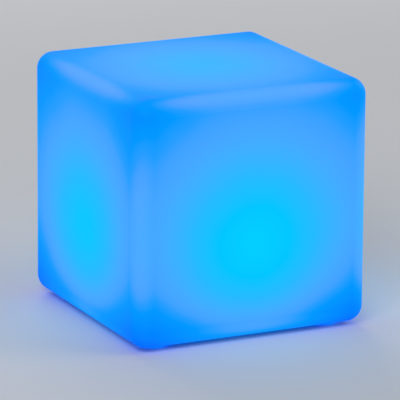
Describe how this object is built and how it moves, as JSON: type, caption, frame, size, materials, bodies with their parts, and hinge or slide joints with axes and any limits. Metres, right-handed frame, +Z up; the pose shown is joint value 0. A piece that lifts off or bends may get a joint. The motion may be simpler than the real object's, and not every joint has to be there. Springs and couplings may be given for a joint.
{
  "type": "led cube light",
  "caption": "Hollow translucent cube with rounded edges on moulded feet, lit from inside by a sealed battery module screwed into its underside.",
  "frame": {"origin": "middle of the footprint, on the ground under the feet", "axes": "+Z up; -Y the wide face that the picture shows; +X to the right of that face"},
  "size_m": [0.4, 0.4, 0.4],
  "materials": {
    "shell_plastic": "satin, milky, lit blue from inside",
    "insert_brass": "turned",
    "seal_rubber": "soft silicone",
    "housing_plastic": "fine texture",
    "screw_steel": "stainless",
    "button_plastic": "smooth",
    "plunger_plastic": "smooth",
    "switch_plastic": "moulded",
    "jack_plastic": "moulded",
    "contact_nickel": "nickel plated",
    "cover_rubber": "soft silicone",
    "light_pipe": "clear to milky",
    "lamp_red": "diffused",
    "board_green": "solder mask",
    "component_plastic": "moulded",
    "connector_plastic": "moulded",
    "cell_wrap": "shrink wrap",
    "cradle_plastic": "moulded",
    "clamp_steel": "sprung sheet",
    "lead_red": "wire insulation",
    "lead_black": "wire insulation",
    "cable_sheath": "cable sheath",
    "board_white": "white solder mask",
    "led_light": "lit blue",
    "receiver_plastic": "dark clear epoxy",
    "dome_plastic": "frosted"
  },
  "bodies": {
    "cube": {"cube_shell": "shell_plastic", "threaded_inserts": "insert_brass", "flange_gasket": "seal_rubber", "module_base": "housing_plastic", "flange_screws": "screw_steel", "push_switch": "switch_plastic", "charge_jack": "jack_plastic", "jack_pin": "contact_nickel", "cover_web": "cover_rubber", "cover_anchor": "cover_rubber", "lamp_lens": "light_pipe", "charge_lamp": "lamp_red", "control_board": "board_green", "board_screws": "screw_steel", "board_parts": "component_plastic", "wire_connectors": "connector_plastic", "battery_cells": "cell_wrap", "battery_cradle": "cradle_plastic", "battery_clamp": "clamp_steel", "clamp_screws": "screw_steel", "cell_links": "contact_nickel", "battery_lead_red": "lead_red", "battery_lead_black": "lead_black", "led_cable": "cable_sheath", "led_board": "board_white", "led_packages": "led_light", "led_board_screws": "screw_steel", "led_connector": "connector_plastic", "remote_receiver": "receiver_plastic", "dome_seal": "seal_rubber", "lens_dome": "dome_plastic", "dome_screws": "screw_steel"},
    "button": {"power_button": "button_plastic", "button_seal": "seal_rubber", "switch_plunger": "plunger_plastic"},
    "cover": {"jack_cover": "cover_rubber"}
  },
  "joints": [
    {"name": "button_press", "type": "slide", "parent": "cube", "child": "button", "axis": [0, 0, 1], "range_m": [0, 0.0015], "stiffness_N_per_m": 400, "springref_m": -0.0005},
    {"name": "cover_hinge", "type": "hinge", "parent": "cube", "child": "cover", "pos_m": [0.03375, -0.028, 0.0124], "axis": [0, -1, 0], "range_deg": [0, 110], "stiffness_Nm_per_rad": 0.001, "springref_deg": -17.19, "deforming": ["cover_web"]}
  ]
}
